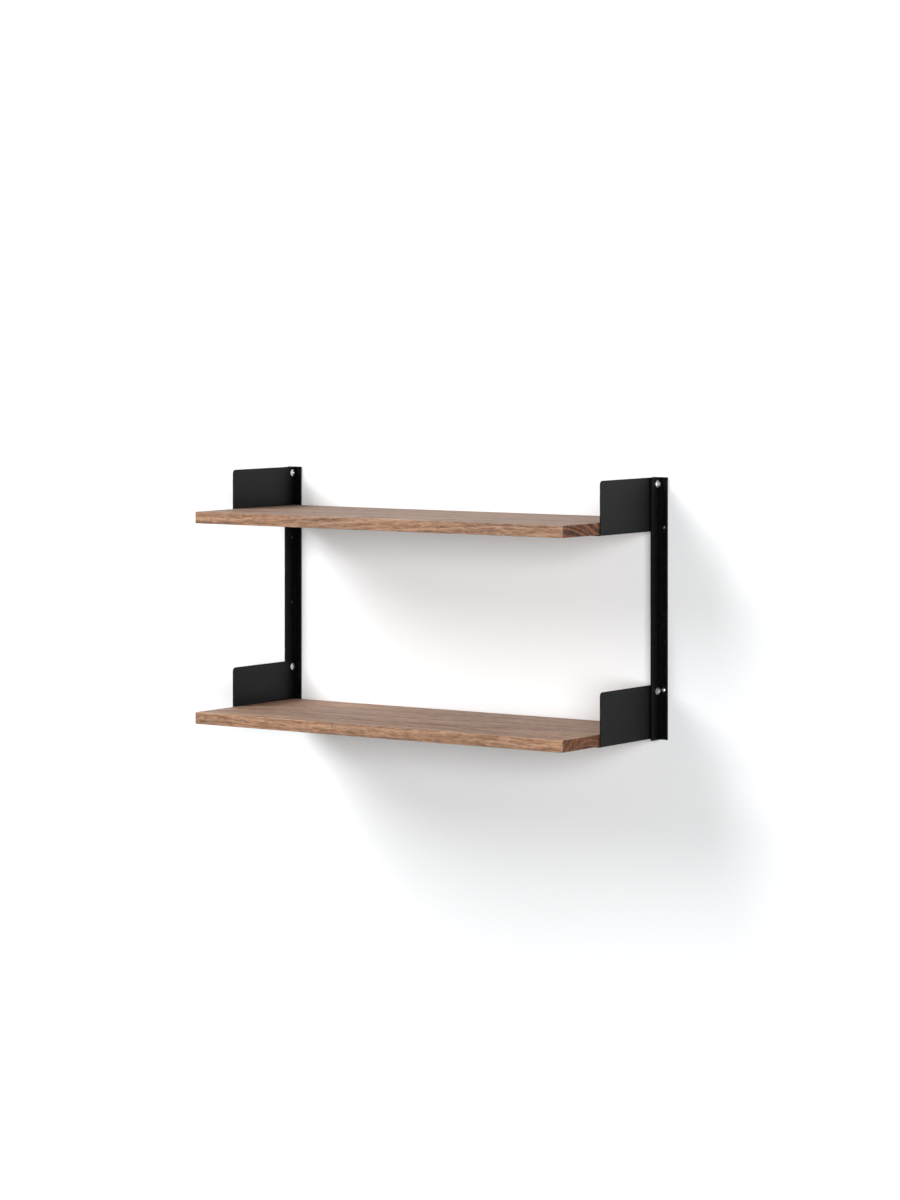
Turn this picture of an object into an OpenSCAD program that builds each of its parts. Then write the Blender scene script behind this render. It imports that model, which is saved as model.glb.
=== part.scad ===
// Wall shelf: two wooden boards between two steel rails, held by four folded brackets.
// +X runs right along the wall, +Y into the wall and +Z up. The wall plane is Y = 0.
// The origin is the centre of the four wall screws, on the wall plane, so the shelf
// stands at negative Y and only the shanks of the wall screws reach behind the wall plane.
// Sides are -1 (left) and +1 (right); every side-dependent piece is drawn on the right and mirrored.

/* [Boards] */
// Length of each board along the wall
board_l = 900; // [600:10:1200]
// Depth of each board from its back edge to its front edge
board_d = 336; // [260:1:400]
// Thickness of each board
board_t = 24; // [18:1:30]
// Gap between the wall and the back edge of each board
board_back = 8; // [6:1:12]
// Radius of the eased edges of each board
board_ease = 1.2; // [0.5:0.1:2]

/* [Rails] */
// Height of each rail
rail_h = 520; // [480:10:600]
// Width of the flange that lies on the wall
rail_w = 35; // [30:1:40]
// Reach of the web, measured from the wall
rail_reach = 35; // [30:1:40]
// Thickness of both flange and web
rail_t = 4; // [3:0.5:5]
// Radius of the rolled edges of the rails
rail_ease = 0.8; // [0.4:0.1:1.2]
// Height from the lower shelf to the upper shelf
shelf_spacing = 410; // [370:5:410]
// Free bolt holes in the web between the two bolted ones
free_holes = 2; // [1:1:3]

/* [Brackets] */
// Thickness of the bracket sheet
sheet_t = 2; // [1.5:0.5:2.5]
// Height of the side plate
plate_h = 107; // [90:1:120]
// Reach of the side plate's front edge, measured from the wall
plate_reach = 216; // [150:1:240]
// Radius of the side plate's top front corner
plate_corner_r = 8; // [4:1:12]
// Width of the lip under the board, over the plate's thickness
lip_w = 30; // [24:1:40]
// Gap between a board's end and the side plate
end_gap = 1.5; // [1:0.5:3]
// Drop of the bolt's axis below the top of the plate
bolt_drop = 13; // [11:1:16]
// Distance of the bolt's axis from the wall
bolt_y = 15; // [14:1:24]

/* [Fasteners] */
// Diameter of the bracket bolts
bolt_d = 6; // [5:1:6]
// Diameter of the wide bolt head
bolt_head_d = 15; // [14:1:17]
// Length of the bolt under its head
bolt_l = 12; // [12:1:14]
// Diameter of the wall screws
wall_screw_d = 5; // [4:0.5:5]
// Length of the wall screws under their heads
wall_screw_l = 50; // [40:5:60]
// Distance of each wall screw from the nearer end of its rail
wall_screw_inset = 99; // [90:1:120]
// Length of the board screws under their heads
board_screw_l = 18; // [14:1:18]

/* [Hidden] */
$fn = 64;
slack = 0.05; // radial room between a fastener and the hole that it fills
cut = 1; // how far a cutter runs past the face that it opens

bend_r = 1.5; // inner radius of the bracket's fold
plate_in = board_l / 2 + end_gap; // inner face of the side plate
web_in = plate_in + sheet_t; // inner face of the rail's web
web_out = web_in + rail_t;
web_mid = web_in + rail_t / 2;

rail_top = rail_h / 2;
bracket_z = [rail_top - plate_h - shelf_spacing, rail_top - plate_h]; // underside of a bracket
bolt_z = [for (z = bracket_z) z + plate_h - bolt_drop];
hole_pitch = shelf_spacing / (free_holes + 1);
bolt_hole_d = bolt_d + 0.6;

bolt_rim_h = 0.8; // straight rim of the bolt's head, under its dome
bolt_head_h = 2.4;
socket_af = 4;
socket_depth = 1.8;
thread_chamfer = 0.7;
washer_t = 1.2;
washer_hole_d = 6.4;
nut_af = 10;
nut_h = 3.2;
nut_chamfer_h = 0.6;

wall_screw_x = web_out + (rail_w - rail_t) / 4; // middle of the flange's outer half
wall_screw_z = rail_top - wall_screw_inset;
wall_screw_hole_d = wall_screw_d + 0.5;
wall_screw_head = [8, 2.8]; // diameter and height
wall_screw_tip = 7;

board_screw_d = 4;
board_screw_hole_d = 4.5; // in the lip
board_screw_head = [8, 2.2];
board_screw_tip = 4;
board_screw_x = plate_in - lip_w / 2;
board_screw_y = [-(board_back + 42), -(plate_reach - 36)]; // back and front screw of a bracket
drive_slot = [0.9, 1.3]; // width and depth of a cross recess
drive_span = 0.55; // its span, as a share of the head's diameter
neck_share = 0.75; // diameter of a screw's neck, as a share of its thread's
tip_d = 0.4; // blunt end of a screw's point

SIDES = [["left", -1], ["right", 1]];
LEVELS = [["lower", 0], ["upper", 1]];
ROWS = [["back", 0], ["front", 1]];
PER_CORNER = ["bracket", "bolt", "washer", "nut", "wall_screw"];

BLACK_STEEL = [0.03, 0.03, 0.033];
WALNUT = [0.47, 0.31, 0.22];
ZINC = [0.78, 0.78, 0.76];

// Draws its children, modelled on the right, at one side.
module at_side(side) {
    mirror([side < 0 ? 1 : 0, 0, 0]) children();
}

// A rectangle with one corner at the origin and all corners rounded by r.
module rounded_rect(w, h, r) {
    translate([r, 0]) square([w - 2 * r, h]);
    translate([0, r]) square([w, h - 2 * r]);
    for (x = [r, w - r], y = [r, h - r]) translate([x, y]) circle(r);
}

// Draws a profile in the Y-Z plane and runs it along +X.
module along_x(length) {
    rotate([90, 0, 90]) linear_extrude(length) children();
}

// Draws a profile in the X-Z plane and runs it along -Y.
module along_minus_y(length) {
    rotate([90, 0, 0]) linear_extrude(length) children();
}

// A block with one corner at the origin and all twelve edges rounded by r.
module eased_block(size, r) {
    intersection() {
        linear_extrude(size[2]) rounded_rect(size[0], size[1], r);
        translate([0, size[1], 0]) along_minus_y(size[1]) rounded_rect(size[0], size[2], r);
        along_x(size[0]) rounded_rect(size[1], size[2], r);
    }
}

// A low dome of base diameter d and height h on the plane Z = 0.
module dome(d, h) {
    sphere_r = (d * d / 4 + h * h) / (2 * h);
    intersection() {
        translate([0, 0, h - sphere_r]) sphere(sphere_r, $fn = 96);
        cylinder(h = h, d = d);
    }
}

// A cross recess in a screw head of diameter d, cut down from the plane Z = 0.
module cross_recess(d) {
    for (turn = [0, 90])
        rotate(turn) translate([-drive_span * d / 2, -drive_slot[0] / 2, -drive_slot[1]])
            cube([drive_span * d, drive_slot[0], drive_slot[1] + cut]);
}

// A pan-head screw with its head above Z = 0. Below it are a thin neck, which passes through
// steel of thickness neck_l, and a pointed thread of diameter d.
module pan_screw(d, length, head, tip, neck_l) {
    rim_h = head[1] / 2;
    thread_l = length - neck_l - tip;
    difference() {
        union() {
            cylinder(h = rim_h, d = head[0]);
            translate([0, 0, rim_h]) dome(head[0], head[1] - rim_h);
        }
        translate([0, 0, head[1]]) cross_recess(head[0]);
    }
    translate([0, 0, -neck_l]) cylinder(h = neck_l, d = neck_share * d);
    translate([0, 0, tip - length]) cylinder(h = thread_l, d = d);
    translate([0, 0, -length]) cylinder(h = tip, d1 = tip_d, d2 = d);
}

// The hole that a pan-head screw's thread fills, from Z = 0 down.
module screw_hole(d, length, tip) {
    hole_d = d + 2 * slack;
    translate([0, 0, tip - length]) cylinder(h = length - tip + cut, d = hole_d);
    translate([0, 0, -length - slack]) cylinder(h = tip + slack, d1 = tip_d, d2 = hole_d);
}

// Places its children at one board screw, with the screw's head side down.
module at_board_screw(level, row) {
    translate([board_screw_x, board_screw_y[row], bracket_z[level]]) rotate([180, 0, 0]) children();
}

// One board: a solid walnut plank with eased edges and pilot holes for its four screws.
module shelf(level) {
    color(WALNUT) difference() {
        translate([-board_l / 2, -board_back - board_d, bracket_z[level] + sheet_t])
            eased_block([board_l, board_d, board_t], board_ease);
        for (side = SIDES, row = ROWS)
            at_side(side[1]) at_board_screw(level, row[1])
                screw_hole(board_screw_d, board_screw_l, board_screw_tip);
    }
}

// One rail: a T section, with four bolt holes in the web and two screw holes in the flange.
module rail(side) {
    color(BLACK_STEEL) at_side(side) difference() {
        translate([0, 0, -rail_top]) linear_extrude(rail_h) {
            translate([web_mid - rail_w / 2, -rail_t]) rounded_rect(rail_w, rail_t, rail_ease);
            translate([web_in, -rail_reach]) rounded_rect(rail_t, rail_reach - rail_ease, rail_ease);
        }
        for (i = [0 : free_holes + 1])
            translate([web_in - cut, -bolt_y, bolt_z[0] + i * hole_pitch])
                rotate([0, 90, 0]) cylinder(h = rail_t + 2 * cut, d = bolt_hole_d);
        for (z = [-wall_screw_z, wall_screw_z])
            translate([wall_screw_x, cut, z])
                rotate([90, 0, 0]) cylinder(h = rail_t + 2 * cut, d = wall_screw_hole_d);
    }
}

// Section of a folded bracket in the X-Z plane: side plate, rounded fold and lip.
module fold_section() {
    fold_r = bend_r + sheet_t;
    fold = [web_in - fold_r, fold_r];
    translate([plate_in, fold_r]) square([sheet_t, plate_h - fold_r]);
    translate([web_in - lip_w, 0]) square([lip_w - fold_r, sheet_t]);
    difference() {
        translate(fold) circle(fold_r);
        translate(fold) circle(bend_r);
        translate([fold[0] - 2 * fold_r, -cut]) square([2 * fold_r, 2 * fold_r + 2 * cut]);
        translate([fold[0] - cut, fold[1]]) square([2 * fold_r, 2 * fold_r]);
    }
}

// Outline of the side plate in the Y-Z plane, with its rounded top front corner.
module plate_outline() {
    r = plate_corner_r;
    translate([-plate_reach, 0]) square([plate_reach - rail_t, plate_h - r]);
    translate([r - plate_reach, 0]) square([plate_reach - rail_t - r, plate_h]);
    translate([r - plate_reach, plate_h - r]) circle(r);
}

// Outline of the lip in the X-Y plane, with its free front corner rounded.
module lip_outline() {
    r = plate_corner_r;
    x = web_in - lip_w;
    translate([x + r, -plate_reach]) square([lip_w - r + cut, plate_reach - rail_t]);
    translate([x, r - plate_reach]) square([lip_w + cut, plate_reach - rail_t - r]);
    translate([x + r, r - plate_reach]) circle(r);
}

// One bracket: a side plate against the inside of the web, and a lip folded under the board.
module bracket(level, side) {
    color(BLACK_STEEL) at_side(side) translate([0, 0, bracket_z[level]]) difference() {
        intersection() {
            translate([0, -rail_t, 0]) along_minus_y(plate_reach - rail_t) fold_section();
            translate([web_in - lip_w, 0, 0]) along_x(lip_w) plate_outline();
            linear_extrude(plate_h) lip_outline();
        }
        translate([plate_in - cut, -bolt_y, plate_h - bolt_drop])
            rotate([0, 90, 0]) cylinder(h = sheet_t + 2 * cut, d = bolt_hole_d);
        for (y = board_screw_y)
            translate([board_screw_x, y, -cut]) cylinder(h = sheet_t + 2 * cut, d = board_screw_hole_d);
    }
}

// Places its children on a bracket bolt's axis at distance x from the middle of the shelf,
// with their +Z pointing outwards.
module at_bolt(level, side, x) {
    at_side(side) translate([x, -bolt_y, bolt_z[level]]) rotate([0, 90, 0]) children();
}

// One bolt: a wide, slightly domed head with a hex socket inside the plate, and a plain shank.
module bolt(level, side) {
    shank_d = bolt_d - 2 * slack;
    color(ZINC) at_bolt(level, side, plate_in) {
        difference() {
            rotate([180, 0, 0]) {
                cylinder(h = bolt_rim_h, d = bolt_head_d);
                translate([0, 0, bolt_rim_h]) dome(bolt_head_d, bolt_head_h - bolt_rim_h);
            }
            translate([0, 0, -bolt_head_h - cut])
                cylinder(h = socket_depth + cut, d = socket_af / cos(30), $fn = 6);
        }
        cylinder(h = bolt_l - thread_chamfer, d = shank_d);
        translate([0, 0, bolt_l - thread_chamfer])
            cylinder(h = thread_chamfer, d1 = shank_d, d2 = shank_d - 2 * thread_chamfer);
    }
}

// One washer, on the outer face of the web.
module washer(level, side) {
    color(ZINC) at_bolt(level, side, web_out) difference() {
        cylinder(h = washer_t, d = bolt_head_d);
        translate([0, 0, -cut]) cylinder(h = washer_t + 2 * cut, d = washer_hole_d);
    }
}

// One thin hex nut with a chamfered outer face, on the washer.
module nut(level, side) {
    corner_d = nut_af / cos(30);
    color(ZINC) at_bolt(level, side, web_out + washer_t) difference() {
        intersection() {
            cylinder(h = nut_h, d = corner_d, $fn = 6);
            union() {
                cylinder(h = nut_h - nut_chamfer_h, d = corner_d + cut);
                translate([0, 0, nut_h - nut_chamfer_h])
                    cylinder(h = nut_chamfer_h, d1 = corner_d + 0.4, d2 = nut_af - 0.4);
            }
        }
        translate([0, 0, -cut]) cylinder(h = nut_h + 2 * cut, d = bolt_d);
    }
}

// One wall screw, through the outer half of the flange and on into the wall.
module wall_screw(level, side) {
    z = level == 0 ? -wall_screw_z : wall_screw_z;
    color(ZINC) at_side(side) translate([wall_screw_x, -rail_t, z]) rotate([90, 0, 0])
        pan_screw(wall_screw_d, wall_screw_l, wall_screw_head, wall_screw_tip, rail_t);
}

// One board screw, up through the lip into the board.
module board_screw(level, side, row) {
    color(ZINC) at_side(side) at_board_screw(level, row)
        pan_screw(board_screw_d, board_screw_l, board_screw_head, board_screw_tip, sheet_t);
}

for (level = LEVELS)
    shelf(level[1]);
for (side = SIDES)
    rail(side[1]);
for (level = LEVELS, side = SIDES) {
    corner = str("_", level[0], "_", side[0]);
    bracket(level[1], side[1]);
    bolt(level[1], side[1]);
    washer(level[1], side[1]);
    nut(level[1], side[1]);
    wall_screw(level[1], side[1]);
    for (row = ROWS)
        board_screw(level[1], side[1], row[1]);
}
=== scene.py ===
"""Wall shelf: two walnut boards in folded steel brackets, bolted to two black T rails."""

import math

import bmesh
import bpy
import numpy as np
from mathutils import Matrix, Vector
from mathutils.geometry import delaunay_2d_cdt


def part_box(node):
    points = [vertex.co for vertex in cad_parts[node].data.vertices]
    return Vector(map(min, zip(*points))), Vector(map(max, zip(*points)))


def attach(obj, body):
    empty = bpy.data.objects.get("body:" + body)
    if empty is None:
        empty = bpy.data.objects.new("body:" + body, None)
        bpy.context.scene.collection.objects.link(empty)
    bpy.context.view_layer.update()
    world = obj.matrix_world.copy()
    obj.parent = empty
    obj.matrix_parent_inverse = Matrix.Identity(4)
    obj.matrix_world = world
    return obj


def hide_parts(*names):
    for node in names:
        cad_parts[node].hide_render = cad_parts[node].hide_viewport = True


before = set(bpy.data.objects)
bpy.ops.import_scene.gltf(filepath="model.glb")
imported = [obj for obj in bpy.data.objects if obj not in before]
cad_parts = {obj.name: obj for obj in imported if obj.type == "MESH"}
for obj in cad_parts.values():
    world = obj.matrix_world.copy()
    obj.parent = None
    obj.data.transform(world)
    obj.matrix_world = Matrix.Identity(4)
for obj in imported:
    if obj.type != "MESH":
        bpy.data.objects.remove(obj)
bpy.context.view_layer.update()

MM = 0.001
SIDES = {"left": -1, "right": 1}
LEVELS = ("lower", "upper")
ROWS = ("back", "front")

# Camera: degrees to the right of the wall's normal, and a level long lens with a downward shift.
VIEW_AZIMUTH = 35.105
VIEW_FROM = Vector((4.4465, -6.4033, 0.5832))
VIEW_LENS = 114.03
VIEW_SENSOR = 36.0
VIEW_SHIFT = -0.2384
VIEW_REACH = 100.0

# Millimetres that the nodes' boxes don't give.
BOARD_EASE = 1.2
BOARD_CORNER_R = BOARD_EASE + 0.4
BOARD_STEP = 14.0  # longest side of the outline, so that the eased edge can vary along it
BOARD_SCREW_D, BOARD_SCREW_TIP = 4.0, 4.0
PILOT_GAP = 0.05
WEB_T = 4.0
RAIL_EASE = 0.8
RAIL_ROOT = 0.35
RAIL_END_EASE = 0.4
BOLT_HOLE_R = 3.3
WALL_SCREW_HOLE_R = 2.75
LIP_HOLE_R = 2.25
HOLE_FLARE = 0.35
SHEET_T = 2.0
SHEET_EASE = 0.35
FOLD_IN_R = 1.5
CORNER_R = 8.0
BOLT_DROP = 13.0
BOLT_Y = 15.0
HEAD_SOFT = 0.25
CROSS_DEPTH = 1.5

# A hand-eased edge: its mean share of BOARD_EASE, and waves as (height, number, phase).
EASE_MEAN = 0.94
EASE_WAVES = ((0.09, 7, 1), (0.06, 19, 0), (0.04, 43, 0))

# Profiles of the turned pieces, as (height, radius) in millimetres.
BOLT_NECK = [(0, 3.1), (-0.15, 2.95), (-1.6, 2.95), (-1.61, 2.5)]
SOCKET_MOUTH = [(1.95, 0), (1.95, 1.9), (3.0, 2.95), (3.0, 0)]
WASHER = [(0.12, 7.5), (0, 7.35), (0, 3.35), (0.15, 3.2), (1.05, 3.2), (1.2, 3.35),
          (1.2, 7.2), (1.12, 7.4), (0.95, 7.5)]

SIDES_OF_ROUND = 48  # sides of a turned form
FOLD_STEPS = 10
MITRE_LIMIT = 0.3  # keeps the inset of a very sharp corner within bounds
NEAR = 1e-6
WELD = 1e-5
CLOCK_START, CLOCK_STEP = 11, 37  # degrees between one fastener and the next
SMOOTH_ANGLE = math.radians(32)
EDGE_GAIN = 60  # how fast a turning surface counts as an edge
QUARTER = math.pi / 2

# Noise in the walnut: waves to the metre along X, Y and Z, then detail and roughness.
WOOD_NOISE = {
    "waver": ((2.6, 7.0, 7.0), 3.0, 0.5),
    "ripple": ((16.0, 45.0, 45.0), 2.0, 0.5),
    "streak": ((3.0, 150.0, 150.0), 4.0, 0.6),
    "speck": ((34.0, 300.0, 300.0), 3.0, 0.65),
    "fibre": ((14.0, 1300.0, 1300.0), 2.0, 0.6),
    "fleck": ((62.0, 400.0, 400.0), 3.0, 0.65),
    "pore": ((170.0, 3200.0, 3200.0), 1.0, 0.5),
    "blotch": ((3.2, 6.0, 6.0), 2.0, 0.5),
    "tan": ((40.0, 260.0, 260.0), 2.0, 0.6),
    # The last noise lays out the patches of the painted highlight along the walnut's eased edges.
    "edge_patches": ((60.0, 60.0, 60.0), 3.0, 0.6),
}
WAVER_REACH, RIPPLE_REACH = 0.034, 0.004  # metres that the grain wanders
RINGS_TO_METRE = 135.0
RING_SHARE = 0.28
TONE_SHARES = {"streak": 0.26, "speck": 0.36, "fibre": 0.14}
WOOD_TONES = [
    (0.41, (0.092, 0.044, 0.025)),
    (0.47, (0.192, 0.097, 0.054)),
    (0.53, (0.292, 0.158, 0.090)),
    (0.61, (0.420, 0.249, 0.150)),
]
WOOD_HUES = [(0.35, (0.86, 0.86, 0.90)), (0.65, (1.06, 1.02, 0.98))]
# Tones multiplied into the end faces: the end grain's own darker rings, deepened as painted shade
# on the ends.
END_TONES = [(0.40, (0.16, 0.080, 0.045)), (0.60, (0.54, 0.335, 0.215))]
TAN_WOOD = (0.50, 0.31, 0.18, 1)
FLECK_WOOD = (0.10, 0.047, 0.026, 1)
PORE_WOOD = (0.10, 0.05, 0.03, 1)
# A pale colour mixed into the walnut's eased edges as a painted highlight.
EDGE_HIGHLIGHT_WOOD = (0.50, 0.36, 0.27, 1)
COAT_TONES = [(0.3, (0.0012, 0.0012, 0.0013)), (0.7, (0.0016, 0.0016, 0.0017))]
WORN_COAT = (0.012, 0.012, 0.0125, 1)
ZINC_DARK, ZINC_LIGHT = (0.50, 0.50, 0.49), (0.72, 0.72, 0.70)
BRIGHT, SHADED_ZINC = 0.88, 0.14  # zinc's tone where it is clean, and a darker tone painted on the upper wall screws as shade
DAYLIGHT = (0.975, 0.99, 1.0)
WORLD_LIGHT = 0.07
WORLD_SEEN = (0.93, 0.93, 0.93, 1)


# ---------------------------------------------------------------- meshes


def mesh_object(name, verts, faces):
    """A new object from vertices in millimetres, with its faces turned outwards."""
    mesh = bpy.data.meshes.new(name)
    mesh.from_pydata([tuple(float(c) * MM for c in v) for v in verts], [], faces)
    bm = bmesh.new()
    bm.from_mesh(mesh)
    bmesh.ops.recalc_face_normals(bm, faces=bm.faces)
    bm.to_mesh(mesh)
    bm.free()
    obj = bpy.data.objects.new(name, mesh)
    bpy.context.scene.collection.objects.link(obj)
    return obj


def boolean(target, tool, operation="DIFFERENCE"):
    """Cuts target with tool, or intersects the two; the tool is used up."""
    modifier = target.modifiers.new("boolean", "BOOLEAN")
    modifier.object = tool
    modifier.operation = operation
    modifier.solver = "EXACT"
    graph = bpy.context.evaluated_depsgraph_get()
    result = bpy.data.meshes.new_from_object(target.evaluated_get(graph))
    target.modifiers.clear()
    target.data = result
    bpy.data.objects.remove(tool)
    return target


def rounded(corners, radii, steps):
    """A closed 2-D outline with each corner turned into an arc of its own radius."""
    points = []
    count = len(corners)
    for i, (corner, r) in enumerate(zip(corners, radii)):
        p = np.array(corner, float)
        a = np.array(corners[i - 1], float) - p
        b = np.array(corners[(i + 1) % count], float) - p
        a, b = a / np.linalg.norm(a), b / np.linalg.norm(b)
        if r == 0:
            points.append(p)
            continue
        half = math.acos(np.clip(a @ b, -1, 1)) / 2
        start, end = p + a * r / math.tan(half), p + b * r / math.tan(half)
        middle = (a + b) / np.linalg.norm(a + b)
        centre = p + middle * r / math.sin(half)
        from_angle = math.atan2(*(start - centre)[::-1])
        turn = math.atan2(*(end - centre)[::-1]) - from_angle
        turn = (turn + math.pi) % (2 * math.pi) - math.pi
        for k in range(steps + 1):
            angle = from_angle + turn * k / steps
            points.append(centre + r * np.array((math.cos(angle), math.sin(angle))))
    return np.array(points)


def circle(centre, r, count=40):
    """A clockwise circle, for a hole."""
    angles = -np.arange(count) * 2 * math.pi / count
    return np.array(centre) + r * np.stack([np.cos(angles), np.sin(angles)], 1)


def subdivided(loop, step):
    """The same outline with no side longer than step."""
    points = []
    for a, b in zip(loop, np.roll(loop, -1, 0)):
        count = max(1, math.ceil(np.linalg.norm(b - a) / step))
        points += [a + (b - a) * k / count for k in range(count)]
    return np.array(points)


def inset(loop, distance):
    """The outline moved into the material, which lies on its left, by a distance for each point."""
    ahead = np.roll(loop, -1, 0) - loop
    ahead /= np.linalg.norm(ahead, axis=1)[:, None]
    behind = np.roll(ahead, 1, 0)
    normal_a = np.stack([-ahead[:, 1], ahead[:, 0]], 1)
    normal_b = np.stack([-behind[:, 1], behind[:, 0]], 1)
    middle = normal_a + normal_b
    middle /= np.linalg.norm(middle, axis=1)[:, None]
    stretch = 1 / np.maximum((middle * normal_a).sum(1), MITRE_LIMIT)
    return loop + middle * (np.asarray(distance) * stretch)[:, None]


def inside(point, loops):
    """Whether a point lies in the material, by counting the sides that a line from it crosses."""
    x, y = point
    odd = False
    for loop in loops:
        a, b = loop, np.roll(loop, -1, 0)
        spans = (a[:, 1] > y) != (b[:, 1] > y)
        a, b = a[spans], b[spans]
        crossing = a[:, 0] + (y - a[:, 1]) * (b[:, 0] - a[:, 0]) / (b[:, 1] - a[:, 1])
        odd ^= bool(np.count_nonzero(crossing > x) % 2)
    return odd


def flat_faces(loops, lines):
    """Triangles that fill the loops, less the holes, split along lines between outline points."""
    points = np.concatenate(loops)
    edges, start = [], 0
    for loop in loops:
        count = len(loop)
        edges += [(start + i, start + (i + 1) % count) for i in range(count)]
        start += count
    found = delaunay_2d_cdt([Vector(p) for p in points], edges + lines, [], 0, WELD, True)
    if len(found[0]) != len(points):
        raise ValueError("the outline crosses itself")
    faces = [tuple(found[3][i][0] for i in face) for face in found[2]]
    return [face for face in faces if inside(points[list(face)].mean(0), loops)]


def plate(outline, holes, thickness, ease, lines=(), steps=5):
    """A sheet or block on the plane Z = 0: an outline with holes, and all its edges rounded.
    ease is the radius, one number or one for each point of the outline."""
    loops = [np.asarray(outline)] + list(holes)
    eases = [np.broadcast_to(ease, len(loops[0]))]
    eases += [np.full(len(hole), np.min(ease)) for hole in holes]
    angles = np.linspace(0, QUARTER, steps + 1)
    levels = [(1 - math.sin(a), 1 - math.cos(a), 0) for a in angles]
    levels += [(i, z, 1) for i, z, _ in reversed(levels)]
    verts, faces, rings = [], [], []
    for share_in, share_z, top in levels:
        ring = []
        for loop, r in zip(loops, eases):
            flat = inset(loop, r * share_in)
            z = thickness - r * share_z if top else r * share_z
            ring.append(range(len(verts), len(verts) + len(flat)))
            verts += [(x, y, h) for (x, y), h in zip(flat, z)]
        rings.append(ring)
    for low, high in zip(rings, rings[1:]):
        for a, b in zip(low, high):
            count = len(a)
            for i in range(count):
                j = (i + 1) % count
                faces.append((a[i], a[j], b[j], b[i]))
    fill = flat_faces([inset(loop, r) for loop, r in zip(loops, eases)], list(lines))
    last = rings[-1][0][0]
    faces += [tuple(reversed(face)) for face in fill]
    faces += [tuple(i + last for i in face) for face in fill]
    return np.array(verts), faces


def turned(rings, count=SIDES_OF_ROUND):
    """A closed turned form: rings are (z, radius), where the radius may be one for each angle."""
    angles = np.arange(count) * 2 * math.pi / count
    verts, faces, rows = [], [], []
    for z, r in rings:
        if np.isscalar(r) and r == 0:
            rows.append([len(verts)] * count)
            verts.append((0, 0, z))
            continue
        rows.append(range(len(verts), len(verts) + count))
        radii = np.broadcast_to(r, count)
        verts += [(q * math.cos(a), q * math.sin(a), z) for q, a in zip(radii, angles)]
    for low, high in zip(rows, rows[1:]):
        for i in range(count):
            j = (i + 1) % count
            face = (low[i], low[j], high[j], high[i])
            face = tuple(v for k, v in enumerate(face) if v != face[k - 1])
            if len(face) > 2:
                faces.append(face)
    return verts, faces


def ring_of(profile, count):
    """A turned form with a hole through it: the profile closes on itself."""
    verts, faces = turned(list(profile) + [profile[0]], count)
    total = len(verts) - count
    return verts[:total], [tuple(i % total for i in face) for face in faces]


def cutter(r, z0, z1):
    """A round cutter that opens out just before z0 and z1, and goes a millimetre past both."""
    out = r + HOLE_FLARE + 1
    rings = [(z0 - 1, 0), (z0 - 1, out), (z0 + HOLE_FLARE, r),
             (z1 - HOLE_FLARE, r), (z1 + 1, out), (z1 + 1, 0)]
    return mesh_object("cutter", *turned(rings, 40))


def cut_hole(obj, r, depth, centre, axis):
    """Cuts a round hole through so much depth about centre, turned a quarter about axis."""
    hole = cutter(r, -depth / 2, depth / 2)
    turn = Matrix.Rotation(QUARTER, 4, axis)
    hole.data.transform(Matrix.Translation([c * MM for c in centre]) @ turn)
    boolean(obj, hole)


def place(obj, node, axis, clock):
    """Turns obj's +Z to axis and about it by clock degrees, and centres it on a node's box."""
    low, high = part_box(node)
    corners = [Vector(c) for c in obj.bound_box]
    middle = (corners[0] + corners[6]) / 2
    middle.x = middle.y = 0
    aim = Vector(axis).to_track_quat("Z", "Y").to_matrix().to_4x4()
    spin = Matrix.Rotation(math.radians(clock), 4, "Z")
    there = Matrix.Translation((low + high) / 2)
    obj.data.transform(there @ aim @ spin @ Matrix.Translation(-middle))


def copy_of(obj, name):
    """A copy with a mesh of its own."""
    twin = bpy.data.objects.new(name, obj.data.copy())
    bpy.context.scene.collection.objects.link(twin)
    return twin


def mark_edges(mesh):
    """Stores how sharply the surface turns at each point, from 0 on a flat face to 1 on an edge."""
    normals = np.zeros(len(mesh.polygons) * 3)
    mesh.polygons.foreach_get("normal", normals)
    normals = normals.reshape(-1, 3)
    total, count = np.zeros((len(mesh.vertices), 3)), np.zeros(len(mesh.vertices))
    for face, normal in zip(mesh.polygons, normals):
        corners = list(face.vertices)
        total[corners] += normal
        count[corners] += 1
    turn = 1 - np.linalg.norm(total, axis=1) / np.maximum(count, 1)
    values = np.clip(turn * EDGE_GAIN, 0, 1).astype(np.float32)
    mesh.attributes.new("edge", "FLOAT", "POINT").data.foreach_set("value", values)


def finish_piece(obj, name, node, material):
    """Smooths and paints a piece, and lets it stand for its CAD node."""
    obj.name = obj.data.name = name
    mesh = obj.data
    mesh.materials.clear()
    mesh.materials.append(material)
    mesh.shade_smooth()
    mesh.set_sharp_from_angle(angle=SMOOTH_ANGLE)
    mark_edges(mesh)
    normals = obj.modifiers.new("normals", "WEIGHTED_NORMAL")
    normals.keep_sharp = True
    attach(obj, "root")
    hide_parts(node)
    return obj


# ---------------------------------------------------------------- materials


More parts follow.
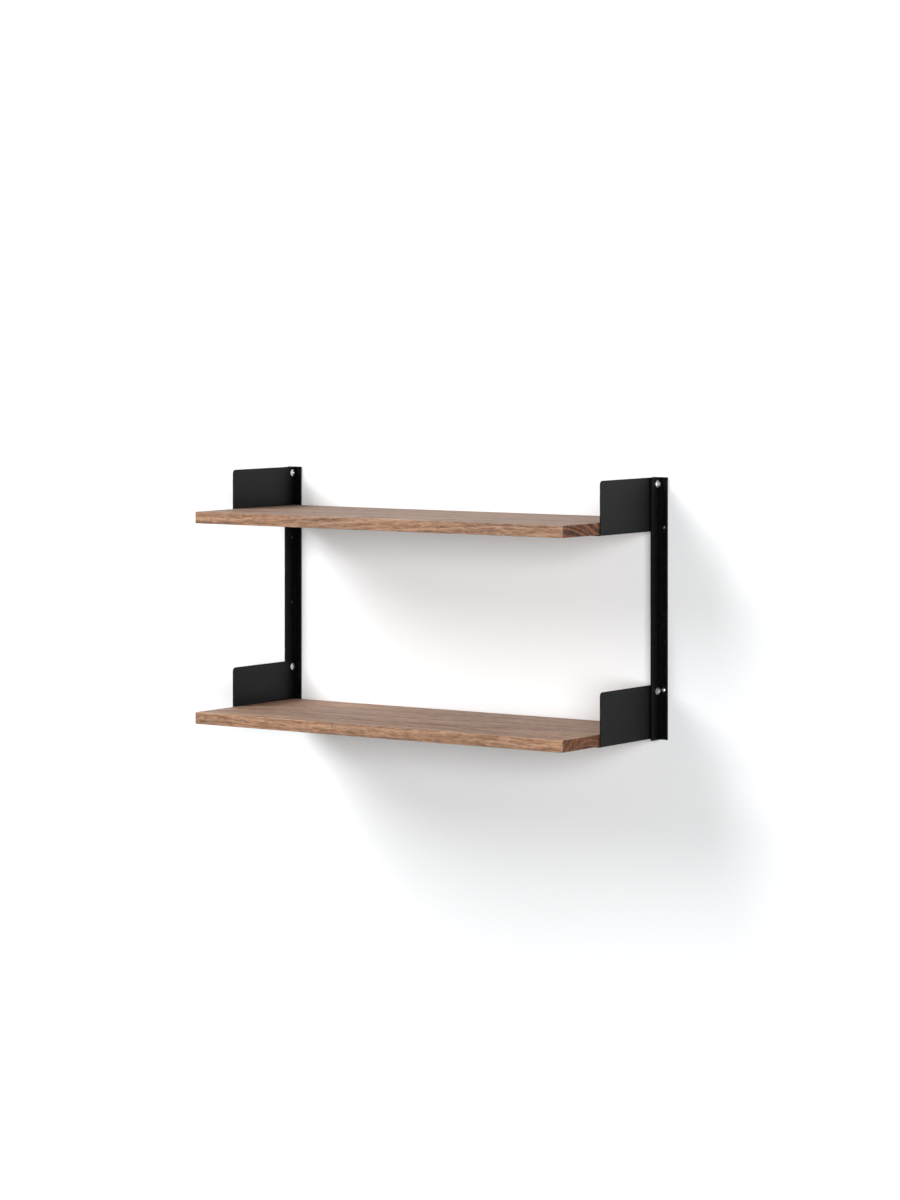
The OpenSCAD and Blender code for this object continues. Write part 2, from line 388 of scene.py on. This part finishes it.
class Graph:
    """One material's nodes. A socket or a plain value can be given for any input."""

    def __init__(self, name):
        self.material = bpy.data.materials.new(name)
        self.material.use_nodes = True
        self.tree = self.material.node_tree
        self.shader = self.tree.nodes["Principled BSDF"]

    def feed(self, socket, value):
        if isinstance(value, bpy.types.NodeSocket):
            self.tree.links.new(value, socket)
        else:
            socket.default_value = value

    def add(self, kind, inputs=None, **settings):
        node = self.tree.nodes.new("ShaderNode" + kind)
        for key, value in settings.items():
            setattr(node, key, value)
        for key, value in (inputs or {}).items():
            self.feed(node.inputs[key], value)
        return node

    def math(self, operation, a, b=0.0):
        return self.add("Math", {0: a, 1: b}, operation=operation).outputs[0]

    def vector(self, operation, a, b):
        return self.add("VectorMath", {0: a, 1: b}, operation=operation).outputs[0]

    def noise(self, point, scale, detail, rough, output="Fac"):
        """Noise with so many waves to the metre along each axis."""
        stretched = self.vector("MULTIPLY", point, scale)
        inputs = {"Vector": stretched, "Scale": 1.0, "Detail": detail, "Roughness": rough}
        return self.add("TexNoise", inputs).outputs[output]

    def between(self, value, low, high, to_low=0.0, to_high=1.0):
        """Maps low..high to to_low..to_high, smoothly and within limits."""
        inputs = {"Value": value, 1: low, 2: high, 3: to_low, 4: to_high}
        return self.add("MapRange", inputs, interpolation_type="SMOOTHSTEP").outputs[0]

    def mix(self, share, a, b, blend="MIX"):
        node = self.add("Mix", {0: share, 6: a, 7: b}, data_type="RGBA", blend_type=blend)
        return node.outputs[2]

    def ramp(self, value, stops):
        node = self.add("ValToRGB", {0: value})
        elements = node.color_ramp.elements
        while len(elements) < len(stops):
            elements.new(0.5)
        for element, (place_at, colour) in zip(elements, stops):
            element.position = place_at
            element.color = (*colour, 1)
        return node.outputs[0]

    def edge_wear_and_highlight(self, colour, edge_patches, edge_colour):
        """Mixes a lighter edge colour into the edges in patches: real edge wear on the black coat,
        and a painted highlight along the walnut's eased edges.
        """
        edge = self.add("Attribute", attribute_name="edge").outputs["Fac"]
        share = self.math("MULTIPLY", self.math("MULTIPLY", edge, edge_patches), 0.5)
        return self.mix(share, colour, edge_colour)

    def bump(self, height, depth, strength, under=None):
        inputs = {"Height": height, "Distance": depth, "Strength": strength}
        if under is not None:
            inputs["Normal"] = under
        return self.add("Bump", inputs).outputs[0]


def walnut(name, shift, pith, lean, sheen):
    """Oiled walnut with its grain along X. shift moves the pattern, pith is the heart's place in
    Y and Z, lean is how far the heart runs off in Y and Z for each metre along X, and sheen
    is painted light multiplied into the broad faces: a grey-blue painted reflection, set darker
    where a board gets more light and lighter where it lies in shade."""
    g = Graph(name)
    coords = g.add("TexCoord")
    point = g.vector("ADD", coords.outputs["Object"], shift)
    bent = point
    for layer, reach in (("waver", WAVER_REACH), ("ripple", RIPPLE_REACH)):
        push = g.noise(point, *WOOD_NOISE[layer], "Color")
        push = g.vector("SUBTRACT", push, (0.5, 0.5, 0.5))
        bent = g.vector("ADD", bent, g.vector("MULTIPLY", push, (0, reach, reach)))
    split = g.add("SeparateXYZ", {0: bent})
    across = []
    for axis, centre, run in zip((1, 2), pith, lean):
        run_off = g.math("MULTIPLY_ADD", split.outputs[0], -run)
        run_off.node.inputs[2].default_value = -centre
        across.append(g.math("ADD", split.outputs[axis], run_off))
    squares = [g.math("POWER", g.math("ABSOLUTE", a), 2.0) for a in across]
    radius = g.math("SQRT", g.math("ADD", *squares))

    waves = {"W": g.math("MULTIPLY", radius, RINGS_TO_METRE), "Scale": 1.0,
             "Detail": 2.5, "Roughness": 0.55}
    ring = g.add("TexNoise", waves, noise_dimensions="1D").outputs["Fac"]
    grain = {layer: g.noise(bent, *WOOD_NOISE[layer]) for layer in TONE_SHARES}
    fleck = g.between(g.noise(bent, *WOOD_NOISE["fleck"]), 0.53, 0.66)
    pore = g.between(g.noise(bent, *WOOD_NOISE["pore"]), 0.58, 0.72)
    tan = g.between(g.noise(bent, *WOOD_NOISE["tan"]), 0.55, 0.70)

    tone = g.math("MULTIPLY", ring, RING_SHARE)
    for layer, share in TONE_SHARES.items():
        tone = g.math("ADD", tone, g.math("MULTIPLY", grain[layer], share))
    colour = g.ramp(tone, WOOD_TONES)
    hue = g.ramp(g.noise(point, *WOOD_NOISE["blotch"]), WOOD_HUES)
    colour = g.mix(1.0, colour, hue, "MULTIPLY")
    for marks, share, wood in ((tan, 0.45, TAN_WOOD), (fleck, 0.62, FLECK_WOOD),
                               (pore, 0.35, PORE_WOOD)):
        colour = g.mix(g.math("MULTIPLY", marks, share), colour, wood)

    # Painted light on the broad faces: the sheen tint stands in for a grey-blue reflection at a
    # grazing view, and darkens or lightens each board for the light it gets.
    facing = g.add("SeparateXYZ", {0: coords.outputs["Normal"]})
    face = g.between(g.math("ABSOLUTE", facing.outputs[2]), 0.6, 0.9)
    colour = g.mix(face, colour, g.mix(1.0, colour, (*sheen, 1), "MULTIPLY"))
    # End faces darkened by the ring-banded end tone: the end grain's own darker colour, and painted
    # shade on ends that face away from the light.
    end = g.between(g.math("ABSOLUTE", facing.outputs[0]), 0.55, 0.9)
    end_tone = g.ramp(ring, END_TONES)
    colour = g.mix(end, colour, g.mix(1.0, colour, end_tone, "MULTIPLY"))
    # The eased edges are lightened in patches: a painted highlight where they catch the light.
    edge_patches = g.between(g.noise(point, *WOOD_NOISE["edge_patches"]), 0.35, 0.65, 0.2, 0.75)
    colour = g.edge_wear_and_highlight(colour, edge_patches, EDGE_HIGHLIGHT_WOOD)

    g.feed(g.shader.inputs["Base Color"], colour)
    rough = g.math("MULTIPLY_ADD", end, 0.3)
    g.feed(rough.node.inputs[2], g.between(grain["streak"], 0.3, 0.7, 0.66, 0.58))
    g.feed(g.shader.inputs["Roughness"], rough)
    g.shader.inputs["Specular IOR Level"].default_value = 0.3
    relief = g.math("SUBTRACT", g.math("MULTIPLY", grain["fibre"], 0.4), pore)
    relief = g.math("SUBTRACT", relief, g.math("MULTIPLY", fleck, 0.6))
    g.feed(g.shader.inputs["Normal"], g.bump(relief, 0.00012, 0.7))
    return g.material


def black_steel():
    """Satin black powder coat: fine orange peel, and edges where it is rubbed thin."""
    g = Graph("black_powder_coat")
    point = g.add("TexCoord").outputs["Object"]
    cloud = g.noise(point, (9.0, 9.0, 9.0), 3.0, 0.5)
    grit = g.noise(point, (2600.0, 2600.0, 2600.0), 1.0, 0.5)
    peel = g.noise(point, (620.0, 620.0, 620.0), 2.0, 0.55)
    edge_patches = g.between(g.noise(point, (85.0, 85.0, 85.0), 4.0, 0.65), 0.52, 0.74)
    colour = g.edge_wear_and_highlight(g.ramp(cloud, COAT_TONES), edge_patches, WORN_COAT)
    g.feed(g.shader.inputs["Base Color"], colour)
    rough = g.math("ADD", g.between(cloud, 0.3, 0.7, 0.38, 0.41), g.math("MULTIPLY", grit, 0.06))
    g.feed(g.shader.inputs["Roughness"], rough)
    g.shader.inputs["Specular IOR Level"].default_value = 0.075
    fine = g.bump(grit, 0.00002, 0.5)
    g.feed(g.shader.inputs["Normal"], g.bump(peel, 0.00006, 0.6, fine))
    return g.material


def zinc(name, tone):
    """Zinc plate with faint scratches and a slightly cloudy sheen; tone is 1 where it is bright."""
    g = Graph(name)
    point = g.add("TexCoord").outputs["Object"]
    cloud = g.noise(point, (260.0, 260.0, 260.0), 3.0, 0.6)
    scratch = g.noise(point, (900.0, 6000.0, 4200.0), 2.0, 0.6)
    low, high = (tuple(c * tone for c in colour) for colour in (ZINC_DARK, ZINC_LIGHT))
    g.feed(g.shader.inputs["Base Color"], g.ramp(cloud, [(0.3, low), (0.7, high)]))
    g.shader.inputs["Metallic"].default_value = 1.0
    rough = g.math("ADD", g.between(cloud, 0.3, 0.7, 0.34, 0.24), g.math("MULTIPLY", scratch, 0.12))
    g.feed(g.shader.inputs["Roughness"], rough)
    g.feed(g.shader.inputs["Normal"], g.bump(scratch, 0.00002, 0.4))
    return g.material


def pale(name, colour):
    """A matt painted surface for the stage."""
    g = Graph(name)
    point = g.add("TexCoord").outputs["Object"]
    mottle = g.noise(point, (1.5, 1.5, 1.5), 2.0, 0.5)
    dark = tuple(c * 0.985 for c in colour)
    g.feed(g.shader.inputs["Base Color"], g.ramp(mottle, [(0.3, dark), (0.7, colour)]))
    g.shader.inputs["Roughness"].default_value = 0.9
    g.shader.inputs["Specular IOR Level"].default_value = 0.1
    return g


# ---------------------------------------------------------------- pieces


def box_mm(node):
    """A node's lowest and highest corners in millimetres."""
    return [np.array(corner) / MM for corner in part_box(node)]


def board(level, material):
    """One plank with hand-eased edges and pilot holes for its four screws."""
    node = f"shelf_{level}"
    low, high = box_mm(node)
    size = high - low
    corners = [(0, 0), (size[0], 0), (size[0], size[1]), (0, size[1])]
    outline = subdivided(rounded(corners, [BOARD_CORNER_R] * 4, steps=4), BOARD_STEP)
    run = np.cumsum(np.linalg.norm(np.roll(outline, -1, 0) - outline, axis=1))
    phase = 2 * math.pi * run / run[-1]
    wobble = sum(height * np.sin(waves * phase + lead) for height, waves, lead in EASE_WAVES)
    verts, faces = plate(outline, [], size[2], BOARD_EASE * (EASE_MEAN + wobble))
    obj = mesh_object(node, verts + low, faces)
    for side in SIDES:
        for row in ROWS:
            a, b = box_mm(f"board_screw_{level}_{side}_{row}")
            middle = (a + b) / 2
            r, tip = BOARD_SCREW_D / 2 + PILOT_GAP, b[2] + 2 * PILOT_GAP
            rings = [(low[2] - 1, 0), (low[2] - 1, r), (tip - BOARD_SCREW_TIP, r), (tip, 0)]
            pilot = mesh_object("pilot", *turned(rings, 32))
            pilot.data.transform(Matrix.Translation((middle[0] * MM, middle[1] * MM, 0)))
            boolean(obj, pilot)
    finish_piece(obj, f"walnut_board_{level}", node, material)


def rail(side, material):
    """One T rail with four bolt holes in its web and two screw holes in its flange."""
    node = f"rail_{side}"
    low, high = box_mm(node)
    half, reach = (high[0] - low[0]) / 2, high[1] - low[1]
    corners = [(half, -WEB_T), (half, 0), (-half, 0), (-half, -WEB_T), (-WEB_T / 2, -WEB_T),
               (-WEB_T / 2, -reach), (WEB_T / 2, -reach), (WEB_T / 2, -WEB_T)]
    radii = [RAIL_EASE] * 4 + [RAIL_ROOT] + [RAIL_EASE] * 2 + [RAIL_ROOT]
    outline = rounded(corners, radii, steps=5)
    verts, faces = plate(outline, [], high[2] - low[2], RAIL_END_EASE, steps=3)
    middle = (low[0] + high[0]) / 2
    obj = mesh_object(node, verts + (middle, high[1], low[2]), faces)
    bolts = [box_mm(f"bolt_{level}_{side}") for level in LEVELS]
    bottom, top = [(a[2] + b[2]) / 2 for a, b in bolts]
    for z in np.linspace(bottom, top, 4):
        cut_hole(obj, BOLT_HOLE_R, WEB_T, (middle, -BOLT_Y, z), "Y")
    for level in LEVELS:
        a, b = box_mm(f"wall_screw_{level}_{side}")
        centre = ((a[0] + b[0]) / 2, -WEB_T / 2, (a[2] + b[2]) / 2)
        cut_hole(obj, WALL_SCREW_HOLE_R, WEB_T, centre, "X")
    finish_piece(obj, f"steel_rail_{side}", node, material)


def bracket(level, side, material):
    """One folded bracket: its flat pattern with holes and rounded corners, then the fold."""
    node = f"bracket_{level}_{side}"
    low, high = box_mm(node)
    height, width = high[2] - low[2], high[0] - low[0]
    front, back = low[1], high[1]
    sign = SIDES[side]
    outer = high[0] if sign > 0 else low[0]
    fold_r = FOLD_IN_R + SHEET_T
    plate_l = height - fold_r
    arc = QUARTER * (FOLD_IN_R + SHEET_T / 2)
    total = plate_l + arc + width - fold_r
    cuts = [plate_l + arc * k / FOLD_STEPS for k in range(FOLD_STEPS + 1)]
    corners = [(0, front), *[(u, front) for u in cuts], (total, front),
               (total, back), *[(u, back) for u in reversed(cuts)], (0, back)]
    radii = [CORNER_R] + [0] * len(cuts) + [CORNER_R] + [0] * (len(cuts) + 2)
    outline = rounded(corners, radii, steps=12)
    lines = [tuple(i for i, p in enumerate(outline) if abs(p[0] - u) < NEAR) for u in cuts]
    holes = [circle((BOLT_DROP, -BOLT_Y), BOLT_HOLE_R)]
    for row in ROWS:
        a, b = box_mm(f"board_screw_{level}_{side}_{row}")
        from_fold = abs(outer) - fold_r - abs(a[0] + b[0]) / 2
        holes.append(circle((plate_l + arc + from_fold, (a[1] + b[1]) / 2), LIP_HOLE_R, 32))
    verts, faces = plate(outline, holes, SHEET_T, SHEET_EASE, lines, steps=4)
    u, y, w = verts.T
    angle = np.clip((u - plate_l) / arc, 0, 1) * QUARTER
    lip = np.maximum(u - plate_l - arc, 0)
    x = -fold_r + (fold_r - w) * np.cos(angle) - lip
    z = fold_r - (fold_r - w) * np.sin(angle) + plate_l - np.minimum(u, plate_l)
    placed = np.stack([outer + sign * x, y, z + low[2]], 1)
    obj = mesh_object(node, placed, faces)
    finish_piece(obj, f"folded_bracket_{level}_{side}", node, material)


def head_rings(head_r, rim_h, head_h):
    """Rings of a low domed head from its top down to its bearing face at Z = 0."""
    soft = HEAD_SOFT
    sphere = (head_r**2 + (head_h - rim_h) ** 2) / (2 * (head_h - rim_h))
    rings = [(head_h, 0)]
    for share in np.linspace(0.12, 1, 9):
        r = (head_r - soft * 0.6) * share
        rings.append((head_h - sphere + math.sqrt(sphere**2 - r**2), r))
    rings.append((rim_h - soft * 0.3, head_r))
    rings += [(soft * 0.6, head_r), (soft * 0.2, head_r - soft * 0.2), (0, head_r - soft * 0.7)]
    return rings


def thread_rings(z0, z1, major, minor, pitch, ridge, tip, tip_r):
    """Rings of a right-hand thread that runs from z0 down to z1. The ridge is a share of the
    pitch, and the thread tapers to tip_r over the last tip."""
    turn = np.arange(SIDES_OF_ROUND) / SIDES_OF_ROUND
    rings = []
    steps = math.ceil((z0 - z1) / (pitch / 14))
    for z in np.linspace(z0, z1, steps + 1)[:-1]:
        u = (z / pitch - turn) % 1.0
        crest = np.clip(1.4 - abs(u - 0.5) / (ridge / 2) * 1.4, 0, 1)
        depth = min(1.0, (z0 - z) / pitch) * (major - minor)
        taper = min(1.0, (z - z1) / tip)
        shape = tip_r + (minor + depth * crest - tip_r) * taper
        rings.append((z, shape))
    rings.append((z1, tip_r))
    rings.append((z1, 0))
    return rings


def cross_cutter(span, width, top, depth):
    """A tapered cross, narrower at its foot."""
    arm = 3.4
    plus = [(1, 1), (1, arm), (-1, arm), (-1, 1), (-arm, 1), (-arm, -1),
            (-1, -1), (-1, -arm), (1, -arm), (1, -1), (arm, -1), (arm, 1)]
    verts, faces = [], []
    for z, scale, narrow in ((top + 0.6, 1.12, 1.05), (top, 1.0, 1.0), (top - depth, 0.55, 0.72)):
        reach, half = span / 2 * scale / arm, width / 2 * narrow
        for corner in plus:
            x, y = (c * reach if abs(c) > 1 else c * half for c in corner)
            verts.append((x, y, z))
    count = len(plus)
    for ring in range(2):
        for i in range(count):
            j = (i + 1) % count
            a, b = ring * count, (ring + 1) * count
            faces.append((a + i, a + j, b + j, b + i))
    faces += [tuple(range(count)), tuple(range(2 * count, 3 * count))]
    return mesh_object("cross", verts, faces)


def hex_prism(name, across, z0, z1):
    """A hexagonal prism, measured across its flats."""
    r = across / 2 / math.cos(math.pi / 6)
    return mesh_object(name, *turned([(z0, 0), (z0, r), (z1, r), (z1, 0)], 6))


def pan_screw(name, d, length, head_d, head_h, tip, neck_l, pitch):
    """A pan-head screw: head above Z = 0, then a plain neck and a pointed thread."""
    minor, neck = 0.68 * d / 2, 0.75 * d / 2
    rings = head_rings(head_d / 2, head_h / 2, head_h)
    rings += [(0, neck + 0.15), (-0.15, neck), (-neck_l, neck), (-neck_l - 0.01, minor)]
    rings += thread_rings(-neck_l - 0.02, -length, d / 2, minor, pitch,
                          ridge=0.42, tip=tip, tip_r=0.2)
    obj = mesh_object(name, *turned(rings))
    return boolean(obj, cross_cutter(0.55 * head_d, 0.9, head_h, CROSS_DEPTH))


def socket_bolt():
    """A bolt with a wide low head, a hex socket and a fine machine thread."""
    rings = head_rings(head_r=7.5, rim_h=0.8, head_h=2.4) + BOLT_NECK
    rings += thread_rings(-1.62, -12.0, major=2.95, minor=2.5, pitch=1.0,
                          ridge=0.95, tip=0.9, tip_r=2.2)
    obj = mesh_object("bolt_form", *turned(rings))
    boolean(obj, hex_prism("socket", across=4.0, z0=0.6, z1=3.0))
    return boolean(obj, mesh_object("mouth", *turned(SOCKET_MOUTH, 40)))


def washer():
    """A flat washer with one stamped, rounded side."""
    return mesh_object("washer_form", *ring_of(WASHER, 64))


def hex_nut():
    """A thin hex nut, chamfered on its outer face, with a countersunk bore."""
    across, thick, bore_r = 10.0, 3.2, 3.0
    out = across / 2 / math.cos(math.pi / 6) + 0.3
    obj = hex_prism("nut_form", across, 0, thick)
    barrel = [(0, 0), (0, 5.15), (0.35, out), (2.6, out), (thick, 4.8), (thick, 0)]
    boolean(obj, mesh_object("barrel", *turned(barrel, 64)), "INTERSECT")
    return boolean(obj, cutter(bore_r, 0, thick))


def fasteners(bright, shaded_zinc):
    """All bolts, washers, nuts and screws, each turned to a slightly different place. The upper
    wall screws get a darker zinc as painted shade."""
    bolt_form, washer_form, nut_form = socket_bolt(), washer(), hex_nut()
    wall_form = pan_screw("wall_screw_form", d=5.0, length=50.0, head_d=8.0, head_h=2.8,
                          tip=7.0, neck_l=4.0, pitch=2.2)
    board_form = pan_screw("board_screw_form", d=BOARD_SCREW_D, length=18.0, head_d=8.0,
                           head_h=2.2, tip=BOARD_SCREW_TIP, neck_l=2.0, pitch=1.7)
    clock = CLOCK_START
    for level in LEVELS:
        for side, sign in SIDES.items():
            corner = f"{level}_{side}"
            jobs = [
                (bolt_form, "bolt", "socket_bolt", corner, (-sign, 0, 0)),
                (washer_form, "washer", "flat_washer", corner, (sign, 0, 0)),
                (nut_form, "nut", "hex_nut", corner, (sign, 0, 0)),
                (wall_form, "wall_screw", "pan_wall_screw", corner, (0, -1, 0)),
            ]
            for row in ROWS:
                ending = f"{corner}_{row}"
                jobs.append((board_form, "board_screw", "pan_board_screw", ending, (0, 0, -1)))
            for form, kind, label, ending, axis in jobs:
                node, name = f"{kind}_{ending}", f"{label}_{ending}"
                obj = copy_of(form, name)
                place(obj, node, axis, clock)
                clock = (clock + CLOCK_STEP) % 360
                # The upper wall screws get the darker zinc: painted shade.
                material = shaded_zinc if (kind, level) == ("wall_screw", "upper") else bright
                finish_piece(obj, name, node, material)
    for form in (bolt_form, washer_form, nut_form, wall_form, board_form):
        bpy.data.objects.remove(form)


# ---------------------------------------------------------------- stage


def one_sided(graph):
    """Makes a stage surface clear from behind, so that the shelf can be seen from every side."""
    geometry = graph.add("NewGeometry")
    clear = graph.add("BsdfTransparent")
    mix = graph.add("MixShader", {0: geometry.outputs["Backfacing"], 1: graph.shader.outputs[0],
                                  2: clear.outputs[0]})
    output = graph.tree.nodes["Material Output"]
    graph.tree.links.new(mix.outputs[0], output.inputs["Surface"])


def plane(name, corners, front, colour):
    """A flat painted stage surface through four corners in metres, seen from its front only."""
    obj = mesh_object(name, [Vector(c) / MM for c in corners], [(0, 1, 2, 3)])
    if obj.data.polygons[0].normal @ Vector(front) < 0:
        obj.data.flip_normals()
    paint = pale(f"{name}_paint", colour)
    one_sided(paint)
    obj.data.materials.append(paint.material)
    obj.visible_shadow = False
    return obj


def stage():
    """A white wall and a pale floor well below the shelf, both seen from the room only."""
    wall_y, floor_z, reach, top = 0.0008, -1.5, 7.0, 4.5
    plane("wall", [(-reach, wall_y, floor_z), (reach, wall_y, floor_z),
                   (reach, wall_y, top), (-reach, wall_y, top)],
          (0, -1, 0), (0.88, 0.88, 0.88))
    floor = plane("floor", [(-reach, -reach, floor_z), (reach, -reach, floor_z),
                            (reach, reach, floor_z), (-reach, reach, floor_z)],
                  (0, 0, 1), (0.82, 0.81, 0.79))
    floor.visible_diffuse = False


def area_light(name, spot, target, size, power, colour=(1, 1, 1)):
    """A soft rectangular light that faces target."""
    data = bpy.data.lights.new(name, "AREA")
    data.shape = "RECTANGLE"
    data.size, data.size_y = size
    data.energy, data.color = power, colour
    obj = bpy.data.objects.new(name, data)
    obj.location = spot
    obj.rotation_euler = (Vector(target) - Vector(spot)).to_track_quat("-Z", "Y").to_euler()
    obj.visible_camera = False
    bpy.context.scene.collection.objects.link(obj)


def lights():
    """Soft daylight from the upper left, a broad fill from the right, a faint light behind the
    wall for views from there, and a world that is dim as a light and pale when it is seen."""
    area_light("key", (-4.3, -4.3, 4.5), (0.1, 0, 0), size=(4.2, 4.8), power=710,
               colour=DAYLIGHT)
    area_light("fill", (5.6, -7.6, 0.65), (0, 0, 0), size=(4.5, 3.2), power=850,
               colour=DAYLIGHT)
    area_light("behind", (0.8, 4.5, 0.4), (0, 0, 0), size=(3.0, 3.0), power=90)
    world = bpy.data.worlds.new("studio")
    world.use_nodes = True
    bpy.context.scene.world = world
    tree = world.node_tree
    lit = tree.nodes["Background"]
    lit.inputs[0].default_value = (1, 1, 1, 1)
    lit.inputs[1].default_value = WORLD_LIGHT
    seen = tree.nodes.new("ShaderNodeBackground")
    seen.inputs[0].default_value = WORLD_SEEN
    ray = tree.nodes.new("ShaderNodeLightPath")
    mix = tree.nodes.new("ShaderNodeMixShader")
    tree.links.new(ray.outputs["Is Camera Ray"], mix.inputs[0])
    tree.links.new(lit.outputs[0], mix.inputs[1])
    tree.links.new(seen.outputs[0], mix.inputs[2])
    tree.links.new(mix.outputs[0], tree.nodes["World Output"].inputs[0])
    bpy.context.scene.view_settings.view_transform = "Standard"


def camera():
    """A level camera, to the right of the shelf."""
    data = bpy.data.cameras.new("camera")
    data.sensor_width = VIEW_SENSOR
    data.lens = VIEW_LENS
    data.shift_y = VIEW_SHIFT
    data.clip_end = VIEW_REACH
    obj = bpy.data.objects.new("camera", data)
    obj.location = VIEW_FROM
    obj.rotation_euler = (math.radians(90), 0, math.radians(VIEW_AZIMUTH))
    bpy.context.scene.collection.objects.link(obj)
    bpy.context.scene.camera = obj


camera()
stage()
lights()
# Each board's last colour is painted light on its broad faces: darker on the upper board, which
# gets more light, and lighter on the lower one, which lies in the upper's shade.
woods = {
    "lower": walnut("walnut_lower", (0.31, 0.12, 0.05), (-0.163, -0.358), (0.05, 0.03),
                    (0.96, 1.03, 1.12)),
    "upper": walnut("walnut_upper", (1.47, -0.33, 0.61), (-0.60, 0.33), (-0.06, 0.05),
                    (0.74, 0.81, 0.92)),
}
steel = black_steel()
for board_level in LEVELS:
    board(board_level, woods[board_level])
for rail_side in SIDES:
    rail(rail_side, steel)
    for bracket_level in LEVELS:
        bracket(bracket_level, rail_side, steel)
# The second zinc is the darker one, painted shade for the upper wall screws.
fasteners(zinc("zinc_plate", BRIGHT), zinc("zinc_painted_shade", SHADED_ZINC))
